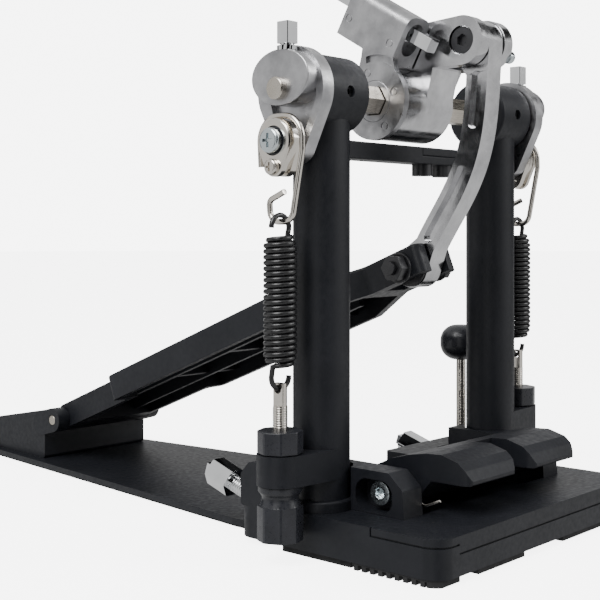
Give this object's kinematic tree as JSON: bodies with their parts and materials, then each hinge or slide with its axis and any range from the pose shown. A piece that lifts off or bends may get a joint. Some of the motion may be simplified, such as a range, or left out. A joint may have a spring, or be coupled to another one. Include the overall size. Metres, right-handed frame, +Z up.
{
  "type": "bass drum pedal",
  "caption": "Single bass drum pedal: hinged footboard drives a cast crank through a rigid link, with springs outside two posts, a hoop clamp, floor spurs and a beater.",
  "frame": {"origin": "on the floor, straight below the rocker shaft's axis, midway between the posts, on the rubber under the toe block", "axes": "+Z up, +Y towards the drum along the footboard, +X to the player's right"},
  "size_m": [0.204, 0.404, 0.361],
  "materials": {
    "black_coat": "fine textured powder coat, satin",
    "rubber": "matte moulded",
    "black_bolt": "black oxide, satin",
    "zinc_bolt": "bright zinc plate",
    "bearing_steel": "ground steel",
    "chrome": "bright chrome",
    "cast_alloy": "satin tumbled casting",
    "polished_alloy": "polished casting",
    "nickel": "bright nickel plate",
    "spring_black": "black lacquered spring steel",
    "black_nylon": "moulded, satin",
    "bronze": "sintered bronze",
    "felt": "pressed wool felt"
  },
  "bodies": {
    "frame": {"toe_block": "black_coat", "toe_rubber": "rubber", "base_plate": "black_coat", "plate_rubber": "rubber", "plate_screws": "zinc_bolt", "heel_plate": "black_coat", "heel_hinge_pin": "bearing_steel", "bridge_bolts": "black_bolt", "base_bolts": "zinc_bolt", "bearing_outer_rings": "bearing_steel", "bearing_balls": "bearing_steel", "housing_set_screws": "black_bolt", "jaw_hinge_pin": "zinc_bolt", "jaw_spring": "nickel", "post_right": "black_coat", "post_left": "black_coat", "tension_rod_right": "nickel", "tension_rod_left": "nickel"},
    "rocker": {"rocker_shaft": "bearing_steel", "crank": "polished_alloy", "crank_pivot_bolt": "black_bolt", "crank_side_screw": "zinc_bolt", "cam_right": "cast_alloy", "cam_left": "cast_alloy", "cam_key_bolts": "chrome", "cam_pivot_screws": "zinc_bolt", "bearing_inner_rings": "bearing_steel", "hub_washer": "cast_alloy"},
    "beater_holder": {"beater_holder": "cast_alloy", "rod_key_bolt": "chrome"},
    "beater_rod": {"beater_rod": "chrome"},
    "beater_head": {"beater_core": "black_nylon", "beater_felt": "felt"},
    "link": {"link_arm": "polished_alloy", "link_bush": "bronze"},
    "footboard": {"footboard": "black_coat", "link_axle": "black_bolt", "axle_nuts": "black_bolt"},
    "jaw": {"hoop_jaw": "black_coat"},
    "clamp": {"clamp_screw": "nickel", "clamp_knob": "black_nylon"},
    "yoke_right": {"yoke_block_right": "nickel", "yoke_bush_right": "black_nylon", "yoke_screw_right": "nickel", "yoke_wire_right": "nickel"},
    "spring_foot_right": {"spring_right": "spring_black"},
    "spring_head_right": {"spring_hook_right": "spring_black"},
    "tension_knob_right": {"tension_knob_right": "black_nylon"},
    "lock_nut_right": {"lock_nut_right": "black_nylon"},
    "spur_right": {"spur_right": "chrome"},
    "yoke_left": {"yoke_block_left": "nickel", "yoke_bush_left": "black_nylon", "yoke_screw_left": "nickel", "yoke_wire_left": "nickel"},
    "spring_foot_left": {"spring_left": "spring_black"},
    "spring_head_left": {"spring_hook_left": "spring_black"},
    "tension_knob_left": {"tension_knob_left": "black_nylon"},
    "lock_nut_left": {"lock_nut_left": "black_nylon"},
    "spur_left": {"spur_left": "chrome"}
  },
  "joints": [
    {"name": "rocker_turn", "type": "hinge", "parent": "frame", "child": "rocker", "pos_m": [0, 0, 0.199], "axis": [1, 0, 0], "range_deg": [-56, 0], "stiffness_Nm_per_rad": 0.6, "springref_deg": 28.65},
    {"name": "beater_angle", "type": "hinge", "parent": "rocker", "child": "beater_holder", "pos_m": [0, 0, 0.199], "axis": [1, 0, 0], "range_deg": [-12, 12]},
    {"name": "beater_height", "type": "slide", "parent": "beater_holder", "child": "beater_rod", "axis": [0, -0.866, 0.5], "range_m": [-0.004, 0.03]},
    {"name": "beater_turn", "type": "hinge", "parent": "beater_rod", "child": "beater_head", "pos_m": [0.0215, -0.15473, 0.32759], "axis": [0, -0.866, 0.5], "continuous": true},
    {"name": "link_swing", "type": "hinge", "parent": "rocker", "child": "link", "pos_m": [0, 0.0366, 0.2254], "axis": [1, 0, 0], "range_deg": [-1, 61]},
    {"name": "footboard_tilt", "type": "hinge", "parent": "frame", "child": "footboard", "pos_m": [0, -0.238, 0.028], "axis": [1, 0, 0], "range_deg": [-11, 0.2]},
    {"name": "jaw_open", "type": "hinge", "parent": "frame", "child": "jaw", "pos_m": [0, 0.0266, 0.0275], "axis": [1, 0, 0], "range_deg": [-6, 0]},
    {"name": "clamp_travel", "type": "slide", "parent": "jaw", "child": "clamp", "axis": [0, 0, 1], "range_m": [-0.0058, 0.0002]},
    {"name": "yoke_right_swing", "type": "hinge", "parent": "rocker", "child": "yoke_right", "pos_m": [0.092, 0, 0.177], "axis": [1, 0, 0], "range_deg": [-1, 70]},
    {"name": "spring_right_tilt", "type": "hinge", "parent": "frame", "child": "spring_foot_right", "pos_m": [0.092, 0, 0.073], "axis": [1, 0, 0], "range_deg": [-0.5, 9.5]},
    {"name": "spring_right_stretch", "type": "slide", "parent": "spring_foot_right", "child": "spring_head_right", "axis": [0, 0, 1], "range_m": [-0.0005, 0.0118], "deforming": ["spring_right"]},
    {"name": "tension_knob_right_turn", "type": "hinge", "parent": "frame", "child": "tension_knob_right", "pos_m": [0.092, 0, 0.02], "axis": [0, 0, 1], "continuous": true},
    {"name": "lock_nut_right_turn", "type": "hinge", "parent": "frame", "child": "lock_nut_right", "pos_m": [0.092, 0, 0.05], "axis": [0, 0, 1], "continuous": true},
    {"name": "spur_right_screw", "type": "slide", "parent": "frame", "child": "spur_right", "axis": [0, -0.9511, 0.309], "range_m": [0, 0.01]},
    {"name": "yoke_left_swing", "type": "hinge", "parent": "rocker", "child": "yoke_left", "pos_m": [-0.092, 0, 0.177], "axis": [1, 0, 0], "range_deg": [-1, 70]},
    {"name": "spring_left_tilt", "type": "hinge", "parent": "frame", "child": "spring_foot_left", "pos_m": [-0.092, 0, 0.073], "axis": [1, 0, 0], "range_deg": [-0.5, 9.5]},
    {"name": "spring_left_stretch", "type": "slide", "parent": "spring_foot_left", "child": "spring_head_left", "axis": [0, 0, 1], "range_m": [-0.0005, 0.0118], "deforming": ["spring_left"]},
    {"name": "tension_knob_left_turn", "type": "hinge", "parent": "frame", "child": "tension_knob_left", "pos_m": [-0.092, 0, 0.02], "axis": [0, 0, 1], "continuous": true},
    {"name": "lock_nut_left_turn", "type": "hinge", "parent": "frame", "child": "lock_nut_left", "pos_m": [-0.092, 0, 0.05], "axis": [0, 0, 1], "continuous": true},
    {"name": "spur_left_screw", "type": "slide", "parent": "frame", "child": "spur_left", "axis": [0, -0.9511, 0.309], "range_m": [0, 0.01]}
  ],
  "couplings": [
    {"joint": "link_swing", "follows": "rocker_turn", "ratio": -1.0696},
    {"joint": "footboard_tilt", "follows": "rocker_turn", "ratio": 0.1839},
    {"joint": "clamp_travel", "follows": "jaw_open", "m_per_rad": 0.0513},
    {"joint": "yoke_right_swing", "follows": "rocker_turn", "ratio": -1.2224},
    {"joint": "spring_right_tilt", "follows": "rocker_turn", "ratio": -0.15616},
    {"joint": "spring_right_stretch", "follows": "rocker_turn", "m_per_rad": -0.01147},
    {"joint": "yoke_left_swing", "follows": "rocker_turn", "ratio": -1.2224},
    {"joint": "spring_left_tilt", "follows": "rocker_turn", "ratio": -0.15616},
    {"joint": "spring_left_stretch", "follows": "rocker_turn", "m_per_rad": -0.01147}
  ]
}
